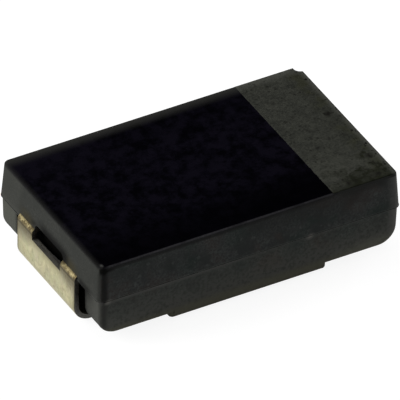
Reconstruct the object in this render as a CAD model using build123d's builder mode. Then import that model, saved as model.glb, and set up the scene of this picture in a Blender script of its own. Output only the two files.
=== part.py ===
from build123d import *
import os
from math import radians, tan

# Moulded surface mount aluminium electrolytic capacitor with a solid polymer electrolyte.
# Millimetres, +Z up. X runs along the case, with the negative terminal at -X and the positive
# one at +X. The origin is at the middle of the outline, in the plane of the solder feet.

# Moulded case, sized at its widest line, where the two mould halves met
case_length = 7.18
case_width = 4.35
top_wall = 0.155            # resin over the upper stack of elements
floor_wall = 0.345          # resin under the lower stack, above the recess for the feet
lip_step = 0.04             # the upper half overhangs the lower half by this much all round
upper_draft = 3.6           # degrees
lower_draft = 1.4           # degrees
top_corner_radius = 0.14    # upright corners, at the top face
parting_corner_radius = 0.155
low_edge_radius = 0.09      # upright corners, and on round the ends and along the underside
top_edge_radius = 0.055
low_end_radius = 0.43       # end edges of the underside, which the terminals wrap round

# Raised middle of the underside, between the solder feet
stand_off = 0.07            # the raised middle clears the board by this much
foot_recess = 0.1           # height of the raised middle
boss_length = 3.77          # at the parting line, where its sides start
boss_corner_radius = 0.12
boss_edge_radius = 0.04

# Hollow in each end of the case, behind and between the legs of the terminal
pocket_near_gap = 0.27      # beside the terminal, on its -Y side
pocket_far_gap = 0.21       # and on its +Y side
pocket_depth = 0.14         # from the end face of the lower half, at the parting line
notch_height = 0.225        # above the parting line, between the legs
notch_corner_radius = 0.12

# Small chip in one top corner, at the positive end, scooped as by a ball
chip_radius = 0.16
chip_rise = 0.03            # centre of the ball above the top face
chip_inset = 0.06           # centre of the ball inside the long side

# Lead frames of tinned copper alloy sheet, bent round the ends of the case
sheet = 0.11
terminal_stand_out = 0.06   # outer face of the terminal beyond the widest line of the case
terminal_width = 2.45
leg_width = 0.62            # two legs leave the case, with a window between them
window_sill = 0.16          # top edge of the terminal plate in the window, below the parting line
window_reach = 0.2          # the window runs this far into the resin
foot_length = 1.3
top_bend_radius = 0.13      # outer radii
foot_bend_radius = 0.4
anchor_length = 0.15        # full width of the inner plate starts this far beyond the window
plate_end_margin = 0.05     # the cathode plate ends this far short of the silver coats
plate_side_margin = 0.25    # the inner plates are narrower than the elements by this, each side
anode_plate_lead_in = 0.06  # the anode plate starts this far before the flat foil tabs

# Capacitor elements, stacked on both faces of the lead frames
elements_per_side = 3
foil = 0.1                  # etched anode foil
polymer = 0.015             # conducting polymer, the solid electrolyte
carbon = 0.01
silver = 0.015
adhesive = 0.015            # silver adhesive between elements
resist = 0.03               # insulating band round the foil
side_wall = 0.46            # resin beside the elements, from the widest line of the case
cathode_end_wall = 0.65     # resin beyond the coated ends, from the widest line of the case
anode_end_wall = 0.55       # resin beyond the foil tabs, from the widest line of the case
tab_length = 0.75           # flat part of each foil tab, welded to the anode lead frame
slope_length = 0.65         # part of each foil that slopes to the lead frame
resist_length = 0.45
resist_margin = 0.05        # bare foil between the band and the slope
coat_step = 0.1             # each coat stops this far short of the one beneath it
adhesive_margin = 0.1       # bare silver round each layer of adhesive between two elements

# Heights
element = foil + 2 * (polymer + carbon + silver)
pitch = element + adhesive
stack = elements_per_side * pitch
recess_height = stand_off + foot_recess
parting_height = recess_height + floor_wall + stack
plate_top = parting_height + sheet
case_top = plate_top + stack + top_wall
upper_height = case_top - parting_height
lower_height = parting_height - recess_height

# Lengths and widths of the case
low_length = case_length - 2 * lip_step
low_width = case_width - 2 * lip_step
top_inset = upper_height * tan(radians(upper_draft))
pocket_wall = low_length / 2 - pocket_depth
pocket_width = terminal_width + pocket_near_gap + pocket_far_gap
pocket_shift = (pocket_near_gap - pocket_far_gap) / 2
window_width = terminal_width - 2 * leg_width
terminal_face = case_length / 2 + terminal_stand_out
sill_height = parting_height - window_sill

# Places along X on the elements
coat = polymer + carbon + silver
coated_end = -(case_length / 2 - cathode_end_wall)
foil_end = coated_end + coat
tab_end = case_length / 2 - anode_end_wall
tab_start = tab_end - tab_length
slope_start = tab_start - slope_length
resist_end = slope_start - resist_margin
resist_start = resist_end - resist_length
foil_width = case_width - 2 * side_wall - 2 * coat
silver_end = resist_start - 2 * coat_step
adhesive_end = silver_end - adhesive_margin
element_width = foil_width + 2 * coat
inner_plate_width = element_width - 2 * plate_side_margin
cathode_plate_end = silver_end - plate_end_margin
anode_plate_end = tab_start - anode_plate_lead_in

down_from_parting = Plane(origin=(0, 0, parting_height), x_dir=(1, 0, 0), z_dir=(0, 0, -1))


def save(piece, name):
    """Label a finished piece and write its STEP file."""
    piece.label = name
    export_step(piece, f"parts/{name}.step")


def box(x_range, width, z_range):
    """A block across the part's middle, between two places on X and two heights."""
    with BuildPart() as block:
        with BuildSketch(Plane.XY.offset(z_range[0])):
            with Locations(((x_range[0] + x_range[1]) / 2, 0)):
                Rectangle(x_range[1] - x_range[0], width)
        extrude(amount=z_range[1] - z_range[0])
    return block.part


def sleeve(x_range, outer, inner, height):
    """A coat round a strip, closed at its -X end. Outer and inner are its offsets from the foil."""
    with BuildPart() as coat_part:
        add(box((foil_end - outer, x_range), foil_width + 2 * outer,
                (height - foil / 2 - outer, height + foil / 2 + outer)))
        add(box((foil_end - inner, x_range), foil_width + 2 * inner,
                (height - foil / 2 - inner, height + foil / 2 + inner)), mode=Mode.SUBTRACT)
    return coat_part.part


def make_foil(height, tab_height):
    """Etched anode foil: flat where it is coated, then sloping to its flat welded tab."""
    low, tab_low = height - foil / 2, tab_height - foil / 2
    with BuildPart() as foil_part:
        with BuildSketch(Plane.XZ):
            with BuildLine():
                Polyline((foil_end, low), (slope_start, low), (tab_start, tab_low), (tab_end, tab_low),
                         (tab_end, tab_low + foil), (tab_start, tab_low + foil),
                         (slope_start, low + foil), (foil_end, low + foil), close=True)
            make_face()
        extrude(amount=foil_width / 2, both=True)
    return foil_part.part


def make_resist(height):
    """Insulating band round the foil, between the coats and the bare tab."""
    with BuildPart() as band:
        add(box((resist_start, resist_end), foil_width + 2 * resist,
                (height - foil / 2 - resist, height + foil / 2 + resist)))
        add(box((resist_start, resist_end), foil_width, (height - foil / 2, height + foil / 2)),
            mode=Mode.SUBTRACT)
    return band.part


def make_lead(side, plate_end):
    """Lead frame: inner plate, two legs, terminal plate down the end, and solder foot."""
    with BuildPart() as lead:
        with BuildSketch(Plane.XZ):
            with BuildLine():
                outer = FilletPolyline(
                    (plate_end, plate_top), (side * terminal_face, plate_top), (side * terminal_face, 0),
                    (side * (terminal_face - foot_length), 0),
                    radius=[top_bend_radius, foot_bend_radius])
                offset(outer, amount=sheet, side=Side.LEFT if side < 0 else Side.RIGHT)
            make_face()
        extrude(amount=terminal_width / 2, both=True)
        window_inner = pocket_wall - window_reach
        wide_from = window_inner - anchor_length
        add(box(tuple(sorted((plate_end, side * wide_from))), inner_plate_width,
                (parting_height, plate_top)))
        add(box(tuple(sorted((side * window_inner, side * (terminal_face + sheet)))), window_width,
                (sill_height, plate_top + sheet)), mode=Mode.SUBTRACT)
    return lead.part


os.makedirs("parts", exist_ok=True)

# Lead frames: the cathode one carries the coated parts, the anode one the foil tabs
cathode_lead = make_lead(-1, cathode_plate_end)
anode_lead = make_lead(1, anode_plate_end)
save(cathode_lead, "cathode_lead_frame")
save(anode_lead, "anode_lead_frame")
inside = [cathode_lead, anode_lead]

# Stacked elements, counted away from the lead frames
for side_name, direction, plate_face in (("upper", 1, plate_top), ("lower", -1, parting_height)):
    for index in range(elements_per_side):
        height = plate_face + direction * (adhesive + index * pitch + element / 2)
        tab_height = plate_face + direction * (index + 0.5) * foil
        adhesive_face = height - direction * element / 2
        adhesive_width = element_width - 2 * adhesive_margin if index else inner_plate_width
        pieces = {
            "anode_foil": make_foil(height, tab_height),
            "resist_band": make_resist(height),
            "polymer_layer": sleeve(resist_start, polymer, 0, height),
            "carbon_layer": sleeve(resist_start - coat_step, polymer + carbon, polymer, height),
            "silver_layer": sleeve(silver_end, coat, polymer + carbon, height),
            "silver_adhesive": box((coated_end + adhesive_margin, adhesive_end), adhesive_width,
                                   tuple(sorted((adhesive_face, adhesive_face - direction * adhesive)))),
        }
        for piece_name, piece in pieces.items():
            save(piece, f"{piece_name}_{side_name}_{index + 1}")
            inside.append(piece)

# Lower half of the case: rounded where the terminals wrap round it, with a raised middle
with BuildPart() as lower_half:
    with BuildSketch(down_from_parting):
        Rectangle(low_length, low_width)
    extrude(amount=lower_height, taper=lower_draft)
    fillet(lower_half.edges().group_by(Axis.Z)[0].filter_by(Axis.Y), radius=low_end_radius)
    corner_runs = lower_half.edges().filter_by(Axis.X, reverse=True).filter_by(Axis.Y, reverse=True)
    fillet(corner_runs, radius=low_edge_radius)
    with BuildSketch(down_from_parting):
        RectangleRounded(boss_length, low_width, boss_corner_radius)
    extrude(amount=parting_height - stand_off, taper=lower_draft)
    fillet(lower_half.edges().group_by(Axis.Z)[0], radius=boss_edge_radius)

with BuildPart() as case:
    with BuildSketch(Plane.XY.offset(parting_height)):
        RectangleRounded(case_length, case_width, parting_corner_radius)
    with BuildSketch(Plane.XY.offset(case_top)):
        RectangleRounded(case_length - 2 * top_inset, case_width - 2 * top_inset, top_corner_radius)
    loft(ruled=True)
    fillet(case.edges().group_by(Axis.Z)[-1], radius=top_edge_radius)
    # Notch between the legs, open at both end faces
    for end in (-1, 1):
        with BuildSketch(Plane.YZ.offset(end * pocket_wall)) as notch_outline:
            with Locations((0, parting_height + notch_height / 2)):
                Rectangle(window_width, notch_height)
            fillet(notch_outline.vertices().group_by(Axis.Y)[-1], radius=notch_corner_radius)
        extrude(amount=end * case_length, mode=Mode.SUBTRACT)
    with Locations((case_length / 2 - top_inset, case_width / 2 - top_inset - chip_inset,
                    case_top + chip_rise)):
        Sphere(chip_radius, rotation=(0, -90, 0), mode=Mode.SUBTRACT)
    add(lower_half.part)
    # Pocket behind the terminal plate, from the parting line down
    with BuildSketch(down_from_parting):
        with Locations((-(pocket_wall + pocket_depth), pocket_shift),
                       (pocket_wall + pocket_depth, pocket_shift)):
            Rectangle(2 * pocket_depth, pocket_width)
    extrude(amount=parting_height, mode=Mode.SUBTRACT)
    # The resin fills round the lead frames and the elements
    add(inside, mode=Mode.SUBTRACT)
save(case.part, "case")

print("overall", 2 * terminal_face, case_width, case_top, "parting", parting_height)
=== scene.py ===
"""Looks for a moulded surface mount aluminium electrolytic capacitor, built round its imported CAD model."""

from __future__ import annotations

import logging
import math
from collections.abc import Iterable
from dataclasses import dataclass, field
from enum import Enum
from functools import cached_property

import bmesh
import bpy
from mathutils import Matrix, Vector, noise


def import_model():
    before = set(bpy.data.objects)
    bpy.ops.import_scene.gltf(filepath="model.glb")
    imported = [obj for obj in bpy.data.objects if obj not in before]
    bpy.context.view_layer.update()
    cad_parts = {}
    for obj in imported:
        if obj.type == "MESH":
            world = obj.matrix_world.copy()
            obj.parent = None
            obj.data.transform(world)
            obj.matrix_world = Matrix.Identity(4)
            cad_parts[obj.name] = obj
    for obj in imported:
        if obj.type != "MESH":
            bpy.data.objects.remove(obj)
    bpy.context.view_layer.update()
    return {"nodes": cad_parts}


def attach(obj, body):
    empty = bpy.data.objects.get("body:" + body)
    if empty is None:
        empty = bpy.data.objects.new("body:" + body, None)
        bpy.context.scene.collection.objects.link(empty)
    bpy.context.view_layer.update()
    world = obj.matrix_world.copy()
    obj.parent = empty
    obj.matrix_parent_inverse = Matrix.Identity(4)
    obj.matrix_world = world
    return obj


log = logging.getLogger("capacitor")

MM = 0.001
PIT_MASK = "pit"

Colour = tuple[float, float, float]
Socket = bpy.types.NodeSocket


class End(Enum):
    """The two ends of the capacitor, as signs along X."""

    CATHODE = -1
    ANODE = 1


class Layer(Enum):
    """The kinds of piece sealed inside the case, by the start of their node's name."""

    FOIL = "anode_foil"
    RESIST = "resist_band"
    POLYMER = "polymer_layer"
    CARBON = "carbon_layer"
    SILVER = "silver_layer"
    ADHESIVE = "silver_adhesive"


class On(Enum):
    """What a mask is measured along: whether it is of the normal, its letter, whether its sign is dropped."""

    X = (False, "X", False)
    Y = (False, "Y", False)
    Z = (False, "Z", False)
    FROM_X = (False, "X", True)
    FROM_Y = (False, "Y", True)
    NORMAL_Y = (True, "Y", False)
    NORMAL_Z = (True, "Z", False)
    SIDEWAYS = (True, "Y", True)


# Node graphs


@dataclass
class Graph:
    """One node tree, with short calls that add nodes and join them."""

    tree: bpy.types.NodeTree

    def feed(self, node: bpy.types.Node, inputs: dict[str | int, object]) -> bpy.types.Node:
        """Give a node its inputs.

        Args:
            node: the node.
            inputs: values, colours or sockets, by input name or number.

        Returns:
            The same node.
        """
        for key, value in inputs.items():
            socket = node.inputs[key]
            if isinstance(value, Socket):
                self.tree.links.new(value, socket)
            elif socket.type == "RGBA":
                socket.default_value = (*value, 1.0)
            else:
                socket.default_value = value
        return node

    def node(
        self, kind: str, inputs: dict[str | int, object] | None = None, **settings: object
    ) -> bpy.types.Node:
        """Add a node.

        Args:
            kind: Blender's name for the type of node.
            inputs: values, colours or sockets to feed, by input name or number.
            settings: attributes to set on the node before its inputs.

        Returns:
            The new node.
        """
        made = self.tree.nodes.new(kind)
        for name, value in settings.items():
            setattr(made, name, value)
        return self.feed(made, inputs or {})

    def math(self, operation: str, first: object, second: object = 0.0) -> Socket:
        """Return the result of a Math node for two values or sockets."""
        return self.node("ShaderNodeMath", {0: first, 1: second}, operation=operation).outputs[0]

    def plus(self, first: object, second: object, share: float = 1.0) -> Socket:
        """Return the first value plus a share of the second."""
        sides = {0: second, 1: share, 2: first}
        return self.node("ShaderNodeMath", sides, operation="MULTIPLY_ADD").outputs[0]

    def fade(self, value: Socket, start: object, end: object, low: float = 0.0, high: float = 1.0) -> Socket:
        """Return a smooth step of a value, low up to the start and high from the end on."""
        sides = {"Value": value, "From Min": start, "From Max": end, "To Min": low, "To Max": high}
        return self.node("ShaderNodeMapRange", sides, interpolation_type="SMOOTHSTEP").outputs["Result"]

    def both(self, *masks: object) -> Socket:
        """Multiply masks.

        Args:
            masks: values or sockets.

        Returns:
            The value socket.
        """
        result = masks[0]
        for mask in masks[1:]:
            result = self.math("MULTIPLY", result, mask)
        return result

    def mix(self, factor: object, first: object, second: object) -> Socket:
        """Return a blend of two colours or sockets, with the share of the second."""
        return self.node("ShaderNodeMix", {0: factor, 6: first, 7: second}, data_type="RGBA").outputs[2]

    def stack(self, colour: object, layers: Iterable[tuple[object, object]]) -> Socket:
        """Lay colours over a colour in turn.

        Args:
            colour: colour or socket.
            layers: the mask and the colour of each.

        Returns:
            The colour socket.
        """
        for mask, paint in layers:
            colour = self.mix(mask, colour, paint)
        return colour

    def axis(self, vector: Socket, name: str) -> Socket:
        """Return one component of a vector, by its letter."""
        return self.node("ShaderNodeSeparateXYZ", {0: vector}).outputs[name]

    def clouds(self, place: Socket, per_mm: object, detail: float, roughness: float = 0.5) -> Socket:
        """Return cloudy noise, with the number of its finer layers and how strong they are."""
        sides = {"Vector": place, "Scale": per_mm, "Detail": detail, "Roughness": roughness}
        return self.node("ShaderNodeTexNoise", sides).outputs[0]


@dataclass
class Effects:
    """Shared effects, each one node group built once and placed in the materials."""

    grain: bpy.types.NodeTree = field(init=False)
    speckle: bpy.types.NodeTree = field(init=False)
    streaks: bpy.types.NodeTree = field(init=False)

    def __post_init__(self) -> None:
        """Build the groups."""
        self.grain = self._make_grain()
        self.speckle = self._make_speckle()
        self.streaks = self._make_streaks()

    @staticmethod
    def _start(
        name: str, inputs: dict[str, float | None], outputs: tuple[str, ...]
    ) -> tuple[Graph, dict[str, Socket], bpy.types.Node]:
        """Begin a group.

        Args:
            name: the group's name.
            inputs: each input's name, with its default, or None for a vector.
            outputs: names of the value outputs.

        Returns:
            The graph, the sockets of its inputs by name, and its output node.
        """
        tree = bpy.data.node_groups.new(name, "ShaderNodeTree")
        for key, value in inputs.items():
            kind = "NodeSocketVector" if value is None else "NodeSocketFloat"
            socket = tree.interface.new_socket(key, in_out="INPUT", socket_type=kind)
            if value is not None:
                socket.default_value = value
        for key in outputs:
            tree.interface.new_socket(key, in_out="OUTPUT", socket_type="NodeSocketFloat")
        graph = Graph(tree)
        given = graph.node("NodeGroupInput").outputs
        return graph, {key: given[key] for key in inputs}, graph.node("NodeGroupOutput")

    def _make_grain(self) -> bpy.types.NodeTree:
        """Return a group with fine and broad cloudy masks of a surface that isn't quite even."""
        inputs = {"Place": None, "Fine per mm": 20.0, "Broad per mm": 2.0}
        graph, given, result = self._start("surface_grain", inputs, ("Fine", "Broad"))
        for name, detail in (("Fine", 3.0), ("Broad", 4.0)):
            cloud = graph.clouds(given["Place"], given[f"{name} per mm"], detail, roughness=0.6)
            graph.feed(result, {name: graph.fade(cloud, 0.3, 0.7)})
        return graph.tree

    def _make_speckle(self) -> bpy.types.NodeTree:
        """Return a group with a mask of scattered small spots of uneven size."""
        inputs = {"Place": None, "Spots per mm": 8.0, "Reach": 0.35, "Share": 0.3}
        graph, given, result = self._start("speckle", inputs, ("Spots",))
        bend = graph.node("ShaderNodeTexNoise", {"Vector": given["Place"], "Scale": 14.0}).outputs["Color"]
        shift = graph.node("ShaderNodeVectorMath", {0: bend, "Scale": 0.08}, operation="SCALE").outputs[0]
        spot = graph.node("ShaderNodeVectorMath", {0: given["Place"], 1: shift}, operation="ADD").outputs[0]
        cells = graph.node("ShaderNodeTexVoronoi", {"Vector": spot, "Scale": given["Spots per mm"]}).outputs
        reach = graph.math("MULTIPLY", given["Reach"], graph.axis(cells["Color"], "Y"))
        body = graph.fade(graph.math("SUBTRACT", reach, cells["Distance"]), -0.05, 0.12)
        chosen = graph.math("LESS_THAN", graph.axis(cells["Color"], "X"), given["Share"])
        graph.feed(result, {"Spots": graph.both(body, chosen)})
        return graph.tree

    def _make_streaks(self) -> bpy.types.NodeTree:
        """Return a group with a mask of fine scratches that run along one direction."""
        inputs = {"Place": None, "Lines per mm": 30.0, "Along": 0.06, "Sparse": 0.6}
        graph, given, result = self._start("streaks", inputs, ("Lines",))
        x, y, z = (graph.axis(given["Place"], letter) for letter in "XYZ")
        run = graph.node("ShaderNodeCombineXYZ", {0: x, 1: y, 2: graph.both(z, given["Along"])}).outputs[0]
        sides = {"Vector": run, "Scale": given["Lines per mm"], "Detail": 2.0, "Distortion": 0.2}
        lines = graph.node("ShaderNodeTexNoise", sides).outputs[0]
        step = graph.fade(lines, given["Sparse"], graph.plus(given["Sparse"], 0.12))
        graph.feed(result, {"Lines": step})
        return graph.tree


@dataclass(frozen=True)
class Step:
    """A mask that goes smoothly from low to high between two values of a measure."""

    along: On
    start: float
    end: float
    low: float = 0.0
    high: float = 1.0

    def make(self, graph: Graph, value: Socket) -> Socket:
        """Return the mask for the socket of its measure."""
        return graph.fade(value, self.start, self.end, self.low, self.high)


@dataclass(frozen=True)
class Bell:
    """A mask that is 1 at one value of a measure, and falls smoothly to 0 at the reach."""

    along: On
    centre: float
    reach: float

    def make(self, graph: Graph, value: Socket) -> Socket:
        """Return the mask for the socket of its measure."""
        return graph.fade(graph.math("ABSOLUTE", graph.math("SUBTRACT", value, self.centre)), self.reach, 0.0)


@dataclass(frozen=True)
class Tint:
    """A colour laid over the part of a surface where its masks meet."""

    paint: Colour
    limits: tuple[Step | Bell, ...]
    share: float


def tint(paint: Colour, *limits: Step | Bell, share: float = 1.0) -> Tint:
    """Return a tint from its colour, its masks and its strongest share."""
    return Tint(paint, limits, share)


@dataclass
class Surface:
    """One material in the making: its graph, its shader and the masks made so far."""

    name: str
    effects: Effects | None = None
    material: bpy.types.Material = field(init=False)
    graph: Graph = field(init=False)
    shader: bpy.types.Node = field(init=False)
    measures: dict[On, Socket] = field(init=False, default_factory=dict)
    masks: dict[Step | Bell, Socket] = field(init=False, default_factory=dict)

    def __post_init__(self) -> None:
        """Make the material with its Principled BSDF."""
        self.material = bpy.data.materials.new(self.name)
        self.material.use_nodes = True
        self.graph = Graph(self.material.node_tree)
        self.shader = self.material.node_tree.nodes["Principled BSDF"]

    @cached_property
    def place(self) -> Socket:
        """The point's place in the part's frame, in millimetres."""
        spot = self.graph.node("ShaderNodeTexCoord").outputs["Object"]
        sides = {0: spot, "Scale": 1 / MM}
        return self.graph.node("ShaderNodeVectorMath", sides, operation="SCALE").outputs[0]

    @cached_property
    def facing(self) -> Socket:
        """The surface's normal in the part's frame."""
        return self.graph.node("ShaderNodeNewGeometry").outputs["Normal"]

    def measure(self, along: On) -> Socket:
        """Measure the surface, once for each measure.

        Args:
            along: the measure.

        Returns:
            The value socket.
        """
        if along not in self.measures:
            of_normal, letter, unsigned = along.value
            value = self.graph.axis(self.facing if of_normal else self.place, letter)
            self.measures[along] = self.graph.math("ABSOLUTE", value) if unsigned else value
        return self.measures[along]

    def mask(self, *limits: Step | Bell, share: float = 1.0) -> Socket:
        """Multiply masks, each made once.

        Args:
            limits: the masks.
            share: the product's highest value.

        Returns:
            The value socket.
        """
        for limit in limits:
            if limit not in self.masks:
                self.masks[limit] = limit.make(self.graph, self.measure(limit.along))
        factors = [self.masks[limit] for limit in limits]
        return self.graph.both(*factors, share) if share < 1.0 else self.graph.both(*factors)

    def lay(self, colour: object, tints: Iterable[Tint]) -> Socket:
        """Return a colour with tints laid over it in turn."""
        layers = ((self.mask(*each.limits, share=each.share), each.paint) for each in tints)
        return self.graph.stack(colour, layers)

    def grain(self, fine_per_mm: float, broad_per_mm: float) -> tuple[Socket, Socket]:
        """Return the fine and the broad mask of the shared grain."""
        inputs = {"Place": self.place, "Fine per mm": fine_per_mm, "Broad per mm": broad_per_mm}
        placed = self.graph.node("ShaderNodeGroup", inputs, node_tree=self.effects.grain)
        return placed.outputs["Fine"], placed.outputs["Broad"]

    def speckle(self, per_mm: float, reach: float, share: float) -> Socket:
        """Return the mask of the shared spots, with their reach and the share of places that have one."""
        inputs = {"Place": self.place, "Spots per mm": per_mm, "Reach": reach, "Share": share}
        return self.graph.node("ShaderNodeGroup", inputs, node_tree=self.effects.speckle).outputs[0]

    def streaks(self, per_mm: float, along: float, sparse: float) -> Socket:
        """Return the mask of the shared scratches, with their squeeze along Z and how sparse they are."""
        inputs = {"Place": self.place, "Lines per mm": per_mm, "Along": along, "Sparse": sparse}
        return self.graph.node("ShaderNodeGroup", inputs, node_tree=self.effects.streaks).outputs[0]

    def close(self, inputs: dict[str, object], relief: Socket, depth: float) -> bpy.types.Material:
        """Feed the shader and give it a bump.

        Args:
            inputs: values, colours and sockets by the shader's input names.
            relief: socket of the bump's height, from 0 to 1.
            depth: height in millimetres where the socket is 1.

        Returns:
            The finished material.
        """
        sides = {"Height": relief, "Distance": depth * MM, "Strength": 1.0}
        normal = self.graph.node("ShaderNodeBump", sides).outputs[0]
        self.graph.feed(self.shader, {**inputs, "Normal": normal})
        return self.material


# Finishes

FRONT = Step(On.NORMAL_Y, -0.5, -0.9)
ROUNDED_FRONT = Step(On.NORMAL_Y, -0.12, -0.4)
BEFORE_BAND = Step(On.X, 2.15, 1.9)
ENDS = Step(On.FROM_X, 3.3, 3.4)


@dataclass(frozen=True)
class MouldedEpoxy:
    """Black moulding compound: satin sides, and a darker, bluish top face that fades at its edges under
    painted light; painted highlights, shade and floor bounce light are laid over both by place.
    """

    side: Colour = (0.034, 0.0355, 0.032)
    side_pale: Colour = (0.046, 0.047, 0.0425)
    front: Colour = (0.0360, 0.0392, 0.0378)
    front_mark: Colour = (0.070, 0.074, 0.072)
    front_green: Colour = (0.0305, 0.0385, 0.035)
    front_brown: Colour = (0.0445, 0.040, 0.037)
    # painted floor bounce light towards the bottom of the front
    front_floor_bounce: Colour = (0.0902, 0.0913, 0.0825)
    front_dark: Colour = (0.030, 0.032, 0.029)
    lower: Colour = (0.040, 0.041, 0.037)
    # painted floor bounce light towards the bottom of the other sides
    lower_floor_bounce: Colour = (0.055, 0.055, 0.050)
    lower_front: Colour = (0.053, 0.0575, 0.0525)
    lower_mark: Colour = (0.088, 0.091, 0.083)
    lower_green: Colour = (0.044, 0.0525, 0.048)
    lower_brown: Colour = (0.059, 0.054, 0.047)
    # painted floor bounce light along the underside
    rim: Colour = (0.125, 0.122, 0.092)
    # painted floor bounce light along the far lower front
    far_floor_bounce: Colour = (0.160, 0.160, 0.130)
    # painted highlight along the parting line
    seam_highlight: Colour = (0.082, 0.084, 0.078)
    # painted light under the lip, filling its shadow
    lip_fill_light: Colour = (0.22, 0.22, 0.21)
    # painted highlight along the rounded front top edge
    edge_highlight: Colour = (0.034, 0.033, 0.036)
    # painted highlight at the near top corner
    corner_highlight: Colour = (0.046, 0.046, 0.044)
    edge_shade: Colour = (0.020, 0.020, 0.0195)
    band_side: Colour = (0.024, 0.025, 0.0235)
    # painted light on the front's far rounded corner
    far_corner_light: Colour = (0.130, 0.130, 0.121)
    # painted light on the lower near corner's rounding
    near_corner_light: Colour = (0.062, 0.063, 0.056)
    corner_shade: Colour = (0.0016, 0.0019, 0.0013)
    # painted highlights beside the parting line
    spot: Colour = (0.16, 0.155, 0.14)
    far_pale: Colour = (0.072, 0.074, 0.063)
    # painted brown shadow above the legs
    brown: Colour = (0.042, 0.037, 0.022)
    # painted shade over the window and round the pocket
    notch_shade: Colour = (0.0065, 0.0065, 0.006)
    # deep painted shade inside the pocket
    hollow_shade: Colour = (0.0015, 0.0014, 0.0012)
    top_dark: Colour = (0.0004, 0.0004, 0.0007)
    top_pale: Colour = (0.0036, 0.0031, 0.0056)
    # painted light along the top's back edge and its negative end
    top_edge_light: Colour = (0.024, 0.024, 0.022)

    # where the painted floor bounce light grows towards the bottom
    floor_bounce_zone: Step = Step(On.Z, 0.95, 0.35)
    lower_half: Step = Step(On.Z, 1.20, 1.04)
    # painted light on the lower near corner's rounding
    near_corner_light_tint: Tint = tint(near_corner_light, Step(On.X, -3.3, -3.45), Step(On.Y, -1.5, -1.8), share=0.7)
    side_tints: tuple[Tint, ...] = (
        # Painted floor bounce light along the underside and the far lower front, and painted shade on the
        # upper front between its middle and the band
        tint(rim, Step(On.Z, 0.42, 0.18)),
        tint(far_floor_bounce, FRONT, Step(On.X, 1.6, 2.9, 0.0, 0.6), Step(On.Z, 0.58, 0.28)),
        tint(edge_shade, FRONT, Step(On.X, -0.4, 0.3), Step(On.X, 3.1, 2.4),
             Step(On.Z, 1.35, 1.75, 0.0, 0.45)),
        # Painted highlight along the parting line, and painted light under its lip that fills its shadow,
        # weaker towards the far end
        tint(seam_highlight, FRONT, Bell(On.Z, 1.035, 0.075), Step(On.X, -1.2, 0.8, 0.9, 0.15)),
        tint(lip_fill_light, Step(On.NORMAL_Z, 0.0, -0.6), Bell(On.Z, 1.09, 0.04),
             Step(On.X, -1.2, 0.8, 0.5, 0.3)),
        tint(lip_fill_light, Bell(On.Z, 1.105, 0.032), Step(On.NORMAL_Y, -0.3, -0.8, 0.5, 1.0),
             Step(On.X, -1.2, 0.8, 0.28, 0.26)),
        # Below the front top edge and the band
        tint(edge_shade, FRONT, Bell(On.Z, 1.882, 0.062), Step(On.X, -1.0, 2.0, 0.9, 0.6), BEFORE_BAND),
        tint(band_side, FRONT, Step(On.X, 2.0, 2.3), Step(On.X, 3.4, 3.1), Bell(On.Z, 1.86, 0.16), share=0.7),
        # Painted light on the front's far upright corner, and painted shade on its near one
        tint(far_corner_light, FRONT, Step(On.X, 3.22, 3.54), Step(On.Z, 1.05, 1.15, 1.0, 0.7)),
        tint(edge_shade, FRONT, Bell(On.X, -3.44, 0.12), Step(On.Z, 0.95, 1.15, 0.5, 0.9)),
        tint(corner_shade, Bell(On.NORMAL_Y, -0.87, 0.22), Step(On.X, -3.36, -3.46), Step(On.Z, 1.08, 1.16),
             share=0.45),
        tint(corner_shade, Step(On.NORMAL_Y, -0.30, -0.65), Step(On.X, -3.35, -3.45), Step(On.Z, 1.0, 1.2),
             Step(On.Z, 1.72, 1.84, 0.15, 1.0)),
        tint(corner_shade, Step(On.NORMAL_Y, -0.6, -0.85), Step(On.X, -3.12, -3.42), Bell(On.Z, 1.86, 0.075)),
        # Two painted highlights beside the parting line
        tint(spot, FRONT, Bell(On.X, -3.36, 0.115), Bell(On.Z, 1.065, 0.115)),
        tint(spot, FRONT, Bell(On.X, 1.43, 0.12), Bell(On.Z, 1.07, 0.12)),
        # Round the terminals: paler at the far side, painted brown shadow above the legs, painted shade over
        # and beside the window and along the end's top edge
        tint(far_pale, ENDS, Step(On.Y, 1.15, 1.40), Step(On.Z, 1.3, 0.9, 0.2, 0.9)),
        tint(brown, ENDS, Bell(On.FROM_Y, 0.93, 0.45), Bell(On.Z, 1.27, 0.24), share=0.9),
        tint(notch_shade, ENDS, Step(On.Y, -0.95, -0.60), Step(On.Y, 0.60, 0.18), Step(On.Z, 1.62, 1.34),
             Step(On.Z, 1.0, 1.2)),
        tint(notch_shade, ENDS, Bell(On.FROM_Y, 0.66, 0.22), Bell(On.Z, 1.31, 0.14), share=0.6),
        tint(edge_shade, ENDS, Step(On.NORMAL_Y, -0.3, -0.1), Bell(On.Z, 1.915, 0.06), share=0.6),
        # Painted shade along the pocket's near edge and its rim, and deep painted shade inside it
        tint(notch_shade, ENDS, Step(On.Y, -1.98, -1.62), Step(On.Y, -1.25, -1.38), Step(On.Z, 1.28, 1.15),
             Step(On.Z, 0.75, 1.1, 0.2, 0.75)),
        tint(notch_shade, ENDS, Step(On.Y, -1.62, -1.50, 0.0, 0.6), Step(On.Y, 1.56, 1.44),
             Step(On.Z, 1.12, 1.0), Step(On.Z, 0.2, 0.3)),
        tint(hollow_shade, ENDS, Step(On.Y, -1.53, -1.48), Step(On.Y, 1.47, 1.42), Step(On.FROM_X, 3.56, 3.50),
             Step(On.Z, 1.42, 1.37)),
    )
    top_level: tuple[Step, ...] = (Step(On.Y, -2.0, -0.5, 0.12, 0.68), Step(On.Y, 0.9, 1.6, 1.0, 0.8))
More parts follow.
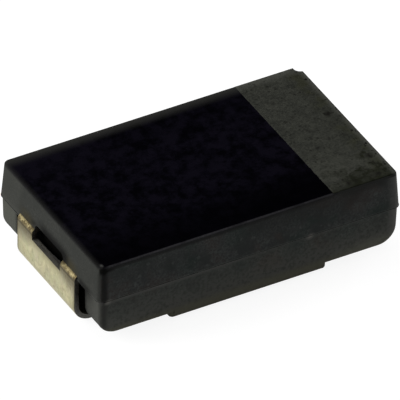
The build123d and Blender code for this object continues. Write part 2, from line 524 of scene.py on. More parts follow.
    # painted sheen towards the back corner at the negative end
    top_corner_sheen: tuple[Step, ...] = (Step(On.X, -1.0, -3.0), Step(On.Y, 0.8, 2.0))
    top_tints: tuple[Tint, ...] = (
        tint(top_dark, Step(On.X, -0.4, 0.6), Step(On.Y, -1.1, -1.5), share=0.5),
        # painted light along the back edge and the negative end's edge
        tint(top_edge_light, Step(On.Y, 1.75, 2.14)),
        tint(top_edge_light, Step(On.X, -3.40, -3.54, 0.0, 0.35)),
    )
    # painted highlight along the rounded front top edge, weaker by the near corner and to the right, none
    # beside the band
    edge_highlight_limits: tuple[Step | Bell, ...] = (
        ROUNDED_FRONT, Bell(On.Z, 1.935, 0.035), BEFORE_BAND,
        Step(On.X, -3.46, -3.3, 0.15, 1.0), Step(On.X, -1.5, 1.5, 1.0, 0.8),
    )
    edge_tints: tuple[Tint, ...] = (
        tint(band_side, ROUNDED_FRONT, Step(On.X, 1.95, 2.15), Step(On.Z, 1.88, 1.91)),
        # painted highlight at the near top corner
        tint(corner_highlight, Bell(On.X, -3.455, 0.055), Bell(On.Y, -2.01, 0.075), Step(On.Z, 1.925, 1.945)),
    )

    @staticmethod
    def _mottle(graph: Graph, patches: Socket, base: Colour, green: Colour, brown: Colour) -> Socket:
        """Return a colour with greenish and brownish patches, from a noise socket."""
        layers = ((graph.fade(patches, 0.46, 0.36), green), (graph.fade(patches, 0.52, 0.62), brown))
        return graph.stack(base, layers)

    def _side(self, surface: Surface, cloud: Socket) -> Socket:
        """Colour the upright faces, with painted floor bounce light, highlights and shade laid over them.

        Args:
            surface: the material in the making.
            cloud: mask of the paler grain.

        Returns:
            The colour socket.
        """
        graph = surface.graph
        front, bounce = surface.mask(FRONT), surface.mask(self.floor_bounce_zone)
        patches = graph.clouds(surface.place, per_mm=1.3, detail=3.0)
        face = self._mottle(graph, patches, self.front, self.front_green, self.front_brown)
        face = graph.mix(cloud, face, self.front_mark)
        upper = graph.mix(front, graph.mix(cloud, self.side, self.side_pale), face)
        face = self._mottle(graph, patches, self.lower_front, self.lower_green, self.lower_brown)
        # paler towards the bottom with painted floor bounce light
        face = graph.stack(face, ((graph.both(cloud, 0.8), self.lower_mark), (bounce, self.front_floor_bounce)))
        lower = graph.mix(front, graph.mix(bounce, self.lower, self.lower_floor_bounce), face)
        dark_grain = graph.clouds(surface.place, per_mm=14.0, detail=3.0)
        lower = graph.mix(graph.fade(dark_grain, 0.40, 0.70, high=0.5), lower, self.front_dark)
        # painted light on the lower near corner
        lower = surface.lay(lower, (self.near_corner_light_tint,))
        return surface.lay(graph.mix(surface.mask(self.lower_half), upper, lower), self.side_tints)

    def _top(self, surface: Surface, fine: Socket) -> Socket:
        """Colour the top face, with painted light along its back and end edges and a painted sheen towards one
        back corner.

        Args:
            surface: the material in the making.
            fine: mask of the fine grain.

        Returns:
            The colour socket.
        """
        graph = surface.graph
        blotch = graph.clouds(surface.place, per_mm=3.0, detail=5.0, roughness=0.7)
        level = graph.both(surface.mask(*self.top_level), graph.fade(blotch, 0.36, 0.64, 0.2, 1.5))
        # paler towards the back corner at the negative end with painted sheen
        level = graph.plus(level, surface.mask(*self.top_corner_sheen, share=0.6))
        level = graph.plus(level, fine, share=0.06)
        return surface.lay(graph.mix(level, self.top_dark, self.top_pale), self.top_tints)

    def make(self, effects: Effects) -> bpy.types.Material:
        """Make the material.

        Args:
            effects: shared node groups.

        Returns:
            The material.
        """
        surface = Surface("moulded_epoxy", effects)
        graph = surface.graph
        fine, broad = surface.grain(fine_per_mm=22.0, broad_per_mm=2.2)
        spots = surface.speckle(per_mm=7.0, reach=0.3, share=0.25)
        marks = surface.speckle(per_mm=10.0, reach=0.5, share=0.18)
        cloud = graph.plus(graph.both(fine, broad), marks, share=0.5)
        side = self._side(surface, graph.math("MINIMUM", cloud, 1.0))
        up = graph.math("MAXIMUM", surface.measure(On.NORMAL_Z), 0.0)
        upright = graph.math("POWER", graph.math("SUBTRACT", 1.0, up), 2.0)
        colour = graph.mix(upright, self._top(surface, fine), side)
        # painted highlight along the front top edge
        line = graph.both(surface.mask(*self.edge_highlight_limits), graph.fade(broad, 0.1, 0.6, 0.6, 1.0))
        colour = surface.lay(graph.mix(line, colour, self.edge_highlight), self.edge_tints)
        inputs = {
            "Base Color": colour,
            "Roughness": graph.fade(fine, 0.0, 1.0, 0.5, 0.62),
            "Coat Weight": graph.both(upright, 0.06),
            "Coat Roughness": 0.45,
            "Specular IOR Level": 0.0,
        }
        return surface.close(inputs, relief=graph.plus(fine, spots, share=-0.8), depth=0.0035)


@dataclass(frozen=True)
class BandMark:
    """The pale polarity band: a roughened, olive grey skin with dark pits, and painted light along its back
    and far edges.
    """

    pale: Colour = (0.0375, 0.0388, 0.0320)
    deep: Colour = (0.0160, 0.0168, 0.0145)
    pit: Colour = (0.007, 0.0068, 0.0058)
    worn: Colour = (0.0105, 0.0115, 0.0075)
    olive: Colour = (0.029, 0.030, 0.017)
    # painted light along the band's back edge and a painted highlight along its far edge
    edge: Colour = (0.056, 0.057, 0.049)

    bright: Bell = Bell(On.Y, -1.35, 0.8)
    worn_slant: Step = Step(On.X, 2.6, 3.3, 0.0, -0.3)
    worn_across: Step = Step(On.X, 2.2, 2.7, 0.35, 1.0)
    olive_far: Step = Step(On.X, 3.0, 3.3, 0.0, 0.7)
    worn_far: Step = Step(On.X, 2.95, 3.28, 0.0, 0.25)
    flecks_far: Step = Step(On.X, 3.34, 3.42, 0.4, 1.0)
    rim_tints: tuple[Tint, ...] = (
        tint(worn, Step(On.Y, -1.98, -2.12, 0.0, 0.55)),
        # painted light along the back edge, and a painted highlight along the far edge
        tint(edge, Step(On.Y, 1.80, 2.12, 0.0, 0.9)),
        tint(edge, Step(On.X, 3.35, 3.50, 0.0, 0.7)),
    )

    def make(self, effects: Effects) -> bpy.types.Material:
        """Make the material.

        Args:
            effects: shared node groups.

        Returns:
            The material.
        """
        surface = Surface("polarity_band", effects)
        graph = surface.graph
        fine, broad = surface.grain(fine_per_mm=18.0, broad_per_mm=6.0)
        spots = surface.speckle(per_mm=9.0, reach=0.42, share=0.2)
        flecks = surface.speckle(per_mm=15.0, reach=0.6, share=0.4)
        pits = graph.node("ShaderNodeAttribute", attribute_name=PIT_MASK).outputs["Fac"]
        ragged = graph.clouds(surface.place, per_mm=3.2, detail=3.0)

        tone = graph.plus(graph.both(broad, 0.45), fine, share=0.55)
        tone = graph.plus(tone, surface.mask(self.bright), share=0.25)
        shift = graph.plus(surface.measure(On.Y), graph.fade(ragged, 0.35, 0.65, -0.35, 0.35))
        shift = graph.plus(shift, surface.mask(self.worn_slant))
        near = graph.both(graph.fade(shift, -1.48, -1.86), surface.mask(self.worn_across))
        near = graph.both(near, graph.fade(broad, 0.25, 0.75, 1.0, 0.6))
        olive = graph.math("MAXIMUM", near, surface.mask(self.olive_far))
        olive = graph.both(olive, graph.fade(ragged, 0.48, 0.62), 0.7)
        worn = graph.math("MAXIMUM", near, surface.mask(self.worn_far))
        layers = ((tone, self.pale), (olive, self.olive), (worn, self.worn))
        colour = surface.lay(graph.stack(self.deep, layers), self.rim_tints)
        holes = (graph.both(flecks, surface.mask(self.flecks_far)), graph.both(spots, 0.55), pits)
        inputs = {
            "Base Color": graph.stack(colour, ((hole, self.pit) for hole in holes)),
            "Roughness": graph.fade(fine, 0.0, 1.0, 0.75, 0.9),
            "Specular IOR Level": 0.0,
        }
        return surface.close(inputs, relief=graph.math("SUBTRACT", fine, spots), depth=0.004)


@dataclass(frozen=True)
class TinnedSheet:
    """Dull tin plating on copper alloy: pale champagne faces, golden at the bends, with bare cut edges;
    painted shade darkens the bends, the crease, the plate towards the bend and the upper cut edges.
    """

    plate: Colour = (0.51, 0.475, 0.295)
    plate_pale: Colour = (0.74, 0.70, 0.43)
    worn: Colour = (0.30, 0.27, 0.165)
    rosy: Colour = (0.40, 0.36, 0.255)
    greenish: Colour = (0.40, 0.41, 0.235)
    # painted shadow on the plate towards the bend
    golden: Colour = (0.105, 0.088, 0.048)
    # golden tin at the bends, painted darker than the plate as shade
    bend_shaded_tin: Colour = (0.075, 0.058, 0.028)
    bend_shaded_tin_pale: Colour = (0.200, 0.168, 0.088)
    # painted shadow at the bend's root and beside the window
    bend_shadow: Colour = (0.030, 0.023, 0.011)
    # painted shade in the crease below the bend
    crease_shade: Colour = (0.045, 0.034, 0.014)
    dark_fleck: Colour = (0.13, 0.115, 0.062)
    cut: Colour = (0.060, 0.057, 0.047)
    # painted shadow on the upper cut edges
    cut_shadow: Colour = (0.010, 0.007, 0.004)
    crease_height: float = 1.07
    sill_below: float = 1.0
    blotch_stretch: tuple[float, float, float] = (1.0, 1.0, 0.75)

    face_tints: tuple[Tint, ...] = (
        # Darker towards the side edges and the foot, painted golden shadow towards the bend, pale below the
        # window
        tint(worn, Step(On.FROM_Y, 0.85, 1.22, 0.0, 0.45)),
        tint(dark_fleck, Step(On.FROM_Y, 1.13, 1.21, 0.0, 0.6)),
        tint(worn, Step(On.Z, 0.42, 0.26, 0.0, 0.4)),
        tint(golden, Step(On.Z, 0.60, 1.02, 0.0, 0.9)),
        tint(plate_pale, Bell(On.Z, 0.80, 0.28), Step(On.FROM_Y, 0.95, 0.55), share=0.2),
    )
    # painted shadow at the bend's root by the case, and by the window's ends
    bend_tints: tuple[Tint, ...] = (
        tint(bend_shadow, Step(On.FROM_X, 3.63, 3.55, 0.0, 0.8)),
        tint(bend_shadow, Step(On.FROM_Y, 0.80, 0.68), Step(On.Z, 1.10, 1.18), share=0.8),
    )
    over_crease: Step = Step(On.Z, crease_height, crease_height + 0.06)
    # painted shade in the crease
    crease_shade_tint: Tint = tint(crease_shade, Bell(On.Z, crease_height, 0.05), share=0.8)
    cut_side: Step = Step(On.SIDEWAYS, 0.5, 0.8)
    cut_sill: Step = Step(On.NORMAL_Z, 0.6, 0.9)
    # painted shadow on the cut edges above the foot, darkest next to the case
    cut_tints: tuple[Tint, ...] = (
        tint(cut_shadow, cut_side, Step(On.FROM_X, 3.64, 3.56), Step(On.Z, 0.16, 0.34)),
        tint(cut_shadow, cut_side, Step(On.Z, 0.30, 0.75), share=0.7),
    )
    bend_roughness: Step = Step(On.Z, 0.9, 1.1, 0.0, 0.12)

    def _blotch(self, surface: Surface, per_mm: float, share: float) -> Socket:
        """Mask upright cloudy blotches in the plating.

        Args:
            surface: the material in the making.
            per_mm: blotches in a millimetre.
            share: the mask's highest value.

        Returns:
            The value socket.
        """
        sides = {0: surface.place, 1: self.blotch_stretch}
        run = surface.graph.node("ShaderNodeVectorMath", sides, operation="MULTIPLY").outputs[0]
        clouds = surface.graph.clouds(run, per_mm, detail=3.0, roughness=0.6)
        return surface.graph.fade(clouds, 0.38, 0.62, high=share)

    def make(self, effects: Effects) -> bpy.types.Material:
        """Make the material.

        Args:
            effects: shared node groups.

        Returns:
            The material.
        """
        surface = Surface("tinned_sheet", effects)
        graph = surface.graph
        fine, broad = surface.grain(fine_per_mm=12.0, broad_per_mm=3.0)
        streak = surface.streaks(per_mm=26.0, along=0.12, sparse=0.55)
        flecks = surface.speckle(per_mm=11.0, reach=0.55, share=0.4)
        layers = (
            (self._blotch(surface, per_mm=7.5, share=0.65), self.worn),
            (self._blotch(surface, per_mm=2.6, share=0.6), self.rosy),
            (self._blotch(surface, per_mm=4.7, share=0.55), self.greenish),
            (graph.both(flecks, 0.30), self.dark_fleck),
            (graph.both(broad, 0.25), self.worn),
            (graph.both(streak, 0.3), self.worn),
        )
        colour = surface.lay(graph.stack(self.plate, layers), self.face_tints)
        # the bend's tin, painted darker as shade
        bend = graph.mix(self._blotch(surface, per_mm=12.0, share=1.0), self.bend_shaded_tin, self.bend_shaded_tin_pale)
        bend = surface.lay(bend, self.bend_tints)
        colour = graph.mix(surface.mask(self.over_crease), colour, bend)
        # painted shade in the crease
        colour = surface.lay(colour, (self.crease_shade_tint,))
        low = graph.math("LESS_THAN", surface.measure(On.Z), self.sill_below)
        sill = graph.both(surface.mask(self.cut_sill), low)
        cut = graph.math("MAXIMUM", surface.mask(self.cut_side), sill)
        rough = graph.plus(graph.fade(broad, 0.0, 1.0, 0.42, 0.54), streak, share=0.12)
        inputs = {
            "Base Color": graph.mix(cut, colour, surface.lay(self.cut, self.cut_tints)),
            "Metallic": graph.plus(1.0, cut, share=-0.6),
            "Roughness": graph.plus(rough, surface.mask(self.bend_roughness)),
        }
        return surface.close(inputs, relief=graph.plus(fine, streak, share=0.6), depth=0.004)


@dataclass(frozen=True)
class ShearedMetal:
    """Bare, torn copper alloy along a cut edge: grey brown, darker towards its crest."""

    base: Colour = (0.036, 0.033, 0.027)
    crest: Colour = (0.0045, 0.0038, 0.0030)
    rise: Step = Step(On.Z, 0.935, 0.985)

    def make(self, effects: Effects) -> bpy.types.Material:
        """Make the material.

        Args:
            effects: shared node groups.

        Returns:
            The material.
        """
        surface = Surface("sheared_metal", effects)
        graph = surface.graph
        fine, broad = surface.grain(fine_per_mm=16.0, broad_per_mm=4.0)
        layers = ((surface.mask(self.rise), self.crest), (graph.both(fine, 0.4), self.crest))
        inputs = {
            "Base Color": graph.stack(self.base, layers),
            "Roughness": graph.fade(broad, 0.0, 1.0, 0.6, 0.75),
            "Specular IOR Level": 0.1,
        }
        return surface.close(inputs, relief=fine, depth=0.004)


@dataclass(frozen=True)
class InnerFinish:
    """Finish of one kind of sealed inner piece."""

    name: str
    base: Colour
    shade: Colour
    metallic: float
    roughness: float
    fine_per_mm: float

    def make(self, effects: Effects) -> bpy.types.Material:
        """Make the material.

        Args:
            effects: shared node groups.

        Returns:
            The material.
        """
        surface = Surface(self.name, effects)
        graph = surface.graph
        fine, broad = surface.grain(self.fine_per_mm, broad_per_mm=2.5)
        layers = ((fine, self.shade), (graph.both(broad, 0.4), self.shade))
        inputs = {
            "Base Color": graph.stack(self.base, layers),
            "Roughness": graph.fade(broad, 0.0, 1.0, self.roughness, self.roughness + 0.1),
            "Metallic": self.metallic,
        }
        return surface.close(inputs, relief=fine, depth=0.002)


INNER_FINISHES = {
    Layer.FOIL: InnerFinish("etched_foil", (0.52, 0.52, 0.51), (0.40, 0.40, 0.40), 1.0, 0.6, 40.0),
    Layer.RESIST: InnerFinish("resist_resin", (0.42, 0.29, 0.10), (0.34, 0.22, 0.07), 0.0, 0.4, 12.0),
    Layer.POLYMER: InnerFinish(
        "conducting_polymer", (0.016, 0.020, 0.040), (0.010, 0.012, 0.022), 0.0, 0.45, 30.0
    ),
    Layer.CARBON: InnerFinish("carbon_paste", (0.020, 0.020, 0.020), (0.012, 0.012, 0.012), 0.0, 0.8, 30.0),
    Layer.SILVER: InnerFinish("silver_paste", (0.56, 0.56, 0.54), (0.44, 0.44, 0.42), 0.9, 0.55, 24.0),
    Layer.ADHESIVE: InnerFinish("silver_glue", (0.46, 0.46, 0.44), (0.36, 0.36, 0.34), 0.8, 0.6, 18.0),
}


# Meshes


def mesh_object(
    name: str,
    verts: list[Vector],
    faces: list[tuple[int, ...]],
    material: bpy.types.Material,
    closed: bool = True,
) -> bpy.types.Object:
    """Make an object from points in millimetres.

    Args:
        name: the piece's name.
        verts: points in the part's frame, in millimetres.
        faces: corner numbers of each face.
        material: its finish.
        closed: whether the faces close, so that they are all turned outwards.

    Returns:
        The linked object, smooth shaded.
    """
    mesh = bpy.data.meshes.new(name)
    mesh.from_pydata([vert * MM for vert in verts], [], faces)
    mesh.validate()
    if closed:
        build = bmesh.new()
        build.from_mesh(mesh)
        bmesh.ops.recalc_face_normals(build, faces=build.faces)
        build.to_mesh(mesh)
        build.free()
    for polygon in mesh.polygons:
        polygon.use_smooth = True
    mesh.materials.append(material)
    made = bpy.data.objects.new(name, mesh)
    bpy.context.scene.collection.objects.link(made)
    return made


def tube_faces(rings: int, sides: int) -> list[tuple[int, ...]]:
    """Join the points of a capped tube, given ring after ring.

    Args:
        rings: number of rings.
        sides: number of points in a ring.

    Returns:
        The corner numbers of each face.
    """
    faces: list[tuple[int, ...]] = []
    for ring in range(rings - 1):
        for side in range(sides):
            a, b = ring * sides + side, ring * sides + (side + 1) % sides
            faces.append((a, b, b + sides, a + sides))
    last = (rings - 1) * sides
    return [*faces, tuple(range(sides)), tuple(reversed(range(last, last + sides)))]


def repaint(node: bpy.types.Object, material: bpy.types.Material) -> None:
    """Give a CAD node one material in place of its own."""
    node.data.materials.clear()
    node.data.materials.append(material)


@dataclass
class MouldedCase:
    """The moulded case: the CAD node's finish, and the thin mould flash along its widest line."""

    length: float = 7.18
    width: float = 4.35
    parting: float = 1.10
    corner: float = 0.155
    corner_steps: int = 8
    leg_reach: float = 1.24
    flash_size: float = 0.007
    flash_stretch: float = 1.4
    flash_unevenness: float = 0.5
    flash_waves_per_mm: float = 2.3
    flash_waves_start: tuple[float, float, float] = (7.1, 3.3, 1.7)
    flash_step: float = 0.05
    flash_sides: int = 8
    finish: MouldedEpoxy = MouldedEpoxy()

    def dress(self, node: bpy.types.Object, effects: Effects) -> bpy.types.Material:
        """Give the CAD node its material.

        Args:
            node: the CAD object of the case.
            effects: shared node groups.

        Returns:
            The material, for the pieces that share it.
        """
        material = self.finish.make(effects)
        repaint(node, material)
        return material

    def _flash_path(self, sign: int) -> list[tuple[Vector, Vector]]:
        """Follow the flash along one long side.

        Args:
            sign: 1 for the +Y side, -1 for the -Y side.

        Returns:
            Points of the path, each with its outward direction.
        """
        half_x, half_y = self.length / 2 - self.corner, self.width / 2 - self.corner
        turn: list[tuple[Vector, Vector]] = []
        for index in range(int((half_y - self.leg_reach) / self.flash_step)):
            spot = Vector((-self.length / 2, self.leg_reach + index * self.flash_step, 0))
            turn.append((spot, Vector((-1, 0, 0))))
        for index in range(self.corner_steps + 1):
            angle = math.pi - index / self.corner_steps * math.pi / 2
            out = Vector((math.cos(angle), math.sin(angle), 0))
            turn.append((Vector((-half_x, half_y, 0)) + out * self.corner, out))
        count = int(2 * half_x / self.flash_step)
        straight = [
            (Vector((-half_x + 2 * half_x * index / count, self.width / 2, 0)), Vector((0, 1, 0)))
            for index in range(1, count)
        ]
        mirror, flip = Vector((-1, 1, 1)), Vector((1, sign, 1))
        path = [*turn, *straight, *((point * mirror, out * mirror) for point, out in reversed(turn))]
        return [(point * flip, out * flip) for point, out in path]

    def make_flash(self, sign: int, material: bpy.types.Material) -> bpy.types.Object:
        """Make the flash along one long side and its two corners.

        Args:
            sign: 1 for the +Y side, -1 for the -Y side.
            material: the epoxy.

        Returns:
            The piece.
        """
        path = self._flash_path(sign)
        verts: list[Vector] = []
        for point, out in path:
            rough = noise.noise(point * self.flash_waves_per_mm + Vector(self.flash_waves_start))
            size = self.flash_size * (1.0 + self.flash_unevenness * rough)
            for side in range(self.flash_sides):
                angle = 2 * math.pi * side / self.flash_sides
                rise = math.sin(angle) * size * self.flash_stretch
                verts.append(point + out * math.cos(angle) * size + Vector((0, 0, self.parting + rise)))
        name = "parting_flash_" + ("back" if sign > 0 else "front")
        return mesh_object(name, verts, tube_faces(len(path), self.flash_sides), material)


@dataclass
class PolarityBand:
    """The pale band across the positive end of the top face, a thin skin with real pits."""

    start: float = 1.989
    half_length: float = 3.5365
    half_width: float = 2.1215
    corner: float = 0.14
    top: float = 1.95
    edge_radius: float = 0.055
    edge_start: float = 0.0516
    wrap: float = 0.033
    lift: float = 0.0022
    thickness: float = 0.008
    pitch: float = 0.02
    start_wave: float = 0.006
    start_waves_per_mm: float = 9.0
    ripple: float = 0.0007
    ripples_per_mm: float = 14.0
    pit_depth: float = 0.0017
    pit_unevenness: float = 0.35
    pit_waves_per_mm: float = 22.0
    chip: tuple[float, float, float] = (3.5365, 2.0615, 1.98)
    chip_reach: float = 0.165
    pits: tuple[tuple[float, float, float, float], ...] = (
        (3.25, 0.36, 0.12, 1.1), (2.58, 1.77, 0.06, 0.6), (2.66, 1.20, 0.07, 0.5), (2.41, 1.20, 0.06, 0.6),
        (2.53, 0.59, 0.07, 0.6), (2.61, 0.01, 0.07, 0.5), (2.48, -0.57, 0.06, 0.6), (2.24, -0.82, 0.07, 0.5),
        (2.33, -1.02, 0.07, 0.5), (3.28, -1.32, 0.11, 0.9), (3.14, -1.95, 0.10, 0.8), (2.44, -1.95, 0.10, 0.9),
        (2.61, -1.93, 0.08, 0.7), (3.39, 0.81, 0.06, 0.7), (3.43, 0.17, 0.06, 0.7), (3.20, -0.45, 0.07, 0.6),
    )
    finish: BandMark = BandMark()

    def _inside(self, x: float, y: float) -> tuple[float, Vector]:
        """Measure how deep a point lies in the top's outline.

        Args:
            x: place along the length, in millimetres.
            y: place across the width, in millimetres.

        Returns:
            The distance to the outline, and the direction out of it.
        """
        over_x = abs(x) - (self.half_length - self.corner)
        over_y = abs(y) - (self.half_width - self.corner)
        if over_x > 0 and over_y > 0:
            out = Vector((math.copysign(over_x, x), math.copysign(over_y, y), 0))
            return self.corner - out.length, out.normalized()
        if self.half_length - abs(x) < self.half_width - abs(y):
            return self.half_length - abs(x), Vector((math.copysign(1, x), 0, 0))
        return self.half_width - abs(y), Vector((0, math.copysign(1, y), 0))

    def _surface(self, x: float, y: float) -> Vector:
        """Find the point of the case's top skin over a place.

        Args:
            x: place along the length, in millimetres.
            y: place across the width, in millimetres.

        Returns:
            The point, kept inside the band's own outline.
        """
        depth, out = self._inside(x, y)
        least = self.edge_start - self.wrap
        if depth < least:
            x, y = x - out.x * (least - depth), y - out.y * (least - depth)
            depth = least
        drop = max(0.0, self.edge_start - depth)
        fall = self.edge_radius - math.sqrt(self.edge_radius**2 - drop**2)
        return Vector((x, y, self.top - fall))

    def _pit(self, x: float, y: float) -> float:
        """Measure the pits at a place.

        Args:
            x: place along the length, in millimetres.
            y: place across the width, in millimetres.

        Returns:
            Their depth, from 0 to 1.
        """
        spot = Vector((x * self.pit_waves_per_mm, y * self.pit_waves_per_mm, 4.0))
        rim = 1.0 + self.pit_unevenness * noise.noise(spot)
        depths = [share * (rim - math.hypot(x - px, y - py) / size) for px, py, size, share in self.pits]
        return min(1.0, max(0.0, max(depths)))

    def make(self, effects: Effects) -> bpy.types.Object:
        """Make the band.

        Args:
            effects: shared node groups.

        Returns:
            The piece.
        """
        reach = self.edge_start - self.wrap
        length, half_width = self.half_length - reach - self.start, self.half_width - reach
        columns, rows = int(length / self.pitch), int(2 * half_width / self.pitch)
        verts: list[Vector] = []
        depths: list[float] = []
        for column in range(columns + 1):
            for row in range(rows + 1):
                x = self.start + length * column / columns
                y = half_width * (2 * row / rows - 1)
                if column == 0:
                    x += self.start_wave * noise.noise(Vector((y * self.start_waves_per_mm, 0.3, 5.0)))
                point = self._surface(x, y)
                spot = Vector((x * self.ripples_per_mm, y * self.ripples_per_mm, 2.0))
                depths.append(self._pit(x, y))
                point.z += self.lift + self.ripple * noise.fractal(spot, 0.8, 2.0, 3)
                point.z -= self.pit_depth * depths[-1]
                verts.append(point)
        across = rows + 1
        faces = [
            (c * across + r, (c + 1) * across + r, (c + 1) * across + r + 1, c * across + r + 1)
            for c in range(columns)
            for r in range(rows)
        ]
        hole = Vector(self.chip)
        kept = [(vert - hole).length > self.chip_reach for vert in verts]
        faces = [face for face in faces if all(kept[index] for index in face)]
        used = sorted({index for face in faces for index in face})
        number = {index: place for place, index in enumerate(used)}
        faces = [tuple(number[index] for index in face) for face in faces]
        skin = [verts[index] for index in used]
        made = mesh_object("polarity_band", skin, faces, self.finish.make(effects), closed=False)
        mask = made.data.attributes.new(PIT_MASK, "FLOAT", "POINT")
        mask.data.foreach_set("value", [depths[index] for index in used])
        thick = made.modifiers.new("thickness", "SOLIDIFY")
        thick.thickness = self.thickness * MM
        thick.offset = -1.0
        return made


@dataclass
class LeadFrames:
    """The two bent lead frames, and the burr that the punch left along the sill of each window."""

    window_half_width: float = 0.605
    side_gap: float = 0.004
    sill: float = 0.94
    burr_inset: float = 3.537
    burr_half_thickness: float = 0.026
    burr_root: float = 0.012
    burr_low: float = 0.022
    burr_high: float = 0.085
    burr_unevenness: float = 0.25
    burr_waves: float = 6.0
    rings: int = 60
    sides: int = 14
    finish: TinnedSheet = TinnedSheet()
    cut_finish: ShearedMetal = ShearedMetal()

    def dress(self, nodes: dict[str, bpy.types.Object], effects: Effects) -> None:
        """Give both CAD nodes their plating.

        Args:
            nodes: CAD objects by name.
            effects: shared node groups.
        """
        material = self.finish.make(effects)
        for end in End:
            node = nodes[f"{end.name.lower()}_lead_frame"]
            repaint(node, material)
            log.info("dressed %s", node.name)

    def make_burrs(self, effects: Effects) -> list[bpy.types.Object]:
        """Make the burr of both windows."""
        material = self.cut_finish.make(effects)
        return [self._make_burr(end, material) for end in End]

    def _make_burr(self, end: End, material: bpy.types.Material) -> bpy.types.Object:
        """Make one burr, a torn ridge that rises towards one leg.

        Args:
            end: the terminal it is on.
            material: its finish.

        Returns:
            The piece.
        """
        verts: list[Vector] = []
        foot = self.sill - self.burr_root
        for ring in range(self.rings + 1):
            along = 2 * ring / self.rings - 1
            share = min(1.0, max(0.0, 0.5 + 0.8 * along))
            spot = Vector((along * self.burr_waves, end.value * 2.0, 1.5))
            rough = 1.0 + self.burr_unevenness * noise.noise(spot)
            closing = min(1.0, 6.0 * (1.0 - abs(along)) + 0.25)
            rise = (self.burr_low + (self.burr_high - self.burr_low) * share**1.5) * rough * closing
            for side in range(self.sides):
                angle = 2 * math.pi * side / self.sides
                x = self.burr_inset - self.burr_half_thickness * math.cos(angle) * closing
                y = along * (self.window_half_width - self.side_gap)
                z = foot + (rise + self.burr_root) * max(0.0, math.sin(angle))
                verts.append(Vector((end.value * x, end.value * y, z)))
        faces = tube_faces(self.rings + 1, self.sides)
        return mesh_object(f"window_burr_{end.name.lower()}", verts, faces, material)


@dataclass
class ElementStacks:
    """The stacked capacitor elements inside the case."""

    finishes: dict[Layer, InnerFinish] = field(default_factory=lambda: dict(INNER_FINISHES))

    def dress(self, nodes: dict[str, bpy.types.Object], effects: Effects) -> None:
        """Give every inner CAD node its finish.

        Args:
            nodes: CAD objects by name.
            effects: shared node groups.
        """
        for layer, finish in self.finishes.items():
            material = finish.make(effects)
            dressed = [node for name, node in nodes.items() if name.startswith(layer.value)]
            for node in dressed:
                repaint(node, material)
            log.info("dressed %d nodes as %s", len(dressed), finish.name)


# Studio


@dataclass(frozen=True)
class Lamp:
    """One soft square lamp that faces the object: its place and side in millimetres, its power in watts."""

    name: str
    spot: tuple[float, float, float]
    size: float
    power: float

    def make(self) -> None:
        """Make the lamp, which the camera doesn't see."""
        data = bpy.data.lights.new(self.name, "AREA")
        data.size = self.size * MM
        data.energy = self.power
        lamp = bpy.data.objects.new(self.name, data)
        lamp.location = Vector(self.spot) * MM
        lamp.rotation_mode = "QUATERNION"
        lamp.rotation_quaternion = Vector(self.spot).to_track_quat("Z", "Y")
        lamp.visible_camera = False
        bpy.context.scene.collection.objects.link(lamp)


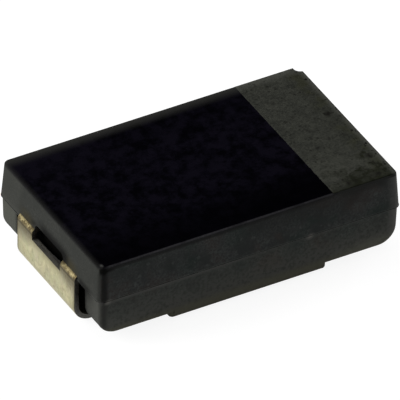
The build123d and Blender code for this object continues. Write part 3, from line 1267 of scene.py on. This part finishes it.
@dataclass
class Studio:
    """Plain pale floor, soft lamps and the camera at the photograph's angle."""

    azimuth: float = -119.79
    elevation: float = 37.08
    roll: float = 1.0785
    distance: float = 333.47
    slide: tuple[float, float] = (0.0069, 0.1055)
    focus: float = 16020.14
    frame_pixels: int = 400
    sensor: float = 36.0
    clip: tuple[float, float] = (0.01, 10.0)
    aim_height: float = 0.95
    world_level: Colour = (0.12, 0.12, 0.12)
    white: Colour = (1.0, 1.0, 1.0)
    floor_half_size: float = 600.0
    floor_height: float = -0.001
    floor_pale: Colour = (0.65, 0.65, 0.65)
    floor_seen: Colour = (0.16, 0.16, 0.16)
    floor_glow: float = 0.90
    lamps: tuple[Lamp, ...] = (
        Lamp("left_lamp", (-125.0, 75.0, 70.0), 110.0, 0.32),
        Lamp("right_lamp", (128.0, 30.0, 36.0), 66.0, 0.11),
        Lamp("top_lamp", (20.0, 20.0, 190.0), 160.0, 0.165),
    )

    def make_camera(self) -> None:
        """Place the camera and make it the scene's."""
        around, rise, lean = map(math.radians, (self.azimuth, self.elevation, self.roll))
        back = Vector((math.cos(around) * math.cos(rise), math.sin(around) * math.cos(rise), math.sin(rise)))
        right = Vector((0, 0, 1)).cross(back).normalized()
        up = back.cross(right)
        right, up = (
            right * math.cos(lean) + up * math.sin(lean),
            up * math.cos(lean) - right * math.sin(lean),
        )
        data = bpy.data.cameras.new("camera")
        data.sensor_width = self.sensor
        data.lens = self.focus / self.frame_pixels * self.sensor
        data.clip_start, data.clip_end = self.clip
        camera = bpy.data.objects.new("camera", data)
        spot = Vector((0, 0, self.aim_height)) + back * self.distance
        spot += right * self.slide[0] + up * self.slide[1]
        turned = Matrix((right, up, back)).transposed().to_4x4()
        camera.matrix_world = Matrix.Translation(spot * MM) @ turned
        bpy.context.scene.collection.objects.link(camera)
        bpy.context.scene.camera = camera

    @staticmethod
    def _direct(graph: Graph) -> Socket:
        """Return 1 for rays that come from the camera or off a gloss, and 0 for the light on the object."""
        path = graph.node("ShaderNodeLightPath").outputs
        direct = graph.math("MAXIMUM", path["Is Camera Ray"], path["Is Transmission Ray"])
        return graph.math("MAXIMUM", direct, path["Is Glossy Ray"])

    def make_floor(self) -> bpy.types.Object:
        """Make the floor: pale for the object, white to the camera, and it keeps the object's shadow."""
        surface = Surface("pale_floor")
        graph = surface.graph
        direct = self._direct(graph)
        inputs = {
            "Base Color": graph.mix(direct, self.floor_pale, self.floor_seen),
            "Roughness": 1.0,
            "Specular IOR Level": 0.0,
            "Emission Color": self.white,
            "Emission Strength": graph.both(direct, self.floor_glow),
        }
        graph.feed(surface.shader, inputs)
        signs = ((-1, -1), (1, -1), (1, 1), (-1, 1))
        half = self.floor_half_size
        points = [Vector((x * half, y * half, self.floor_height)) for x, y in signs]
        return mesh_object("floor", points, [(0, 1, 2, 3)], surface.material, closed=False)

    def make_world(self) -> None:
        """Make the surroundings: white to the camera, a soft grey to the object."""
        world = bpy.data.worlds.new("surroundings")
        bpy.context.scene.world = world
        world.use_nodes = True
        graph = Graph(world.node_tree)
        colour = graph.mix(self._direct(graph), self.world_level, self.white)
        graph.feed(world.node_tree.nodes["Background"], {"Color": colour})

    def make(self) -> bpy.types.Object:
        """Make the whole studio and return its floor."""
        self.make_camera()
        self.make_world()
        for lamp in self.lamps:
            lamp.make()
        bpy.context.scene.view_settings.view_transform = "Standard"
        return self.make_floor()


def main() -> None:
    """Build the looks, piece by piece."""
    logging.basicConfig(level=logging.INFO, format="%(name)s: %(message)s")
    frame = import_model()
    nodes = frame["nodes"]
    effects = Effects()

    case = MouldedCase()
    epoxy = case.dress(nodes["case"], effects)
    for sign in (1, -1):
        flash = case.make_flash(sign, epoxy)
        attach(flash, "root")
        log.info("made %s", flash.name)

    band = PolarityBand().make(effects)
    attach(band, "root")
    log.info("made %s", band.name)

    leads = LeadFrames()
    leads.dress(nodes, effects)
    for burr in leads.make_burrs(effects):
        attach(burr, "root")
        log.info("made %s", burr.name)
    ElementStacks().dress(nodes, effects)

    Studio().make()
    log.info("made the studio")


if __name__ == "__main__":
    main()
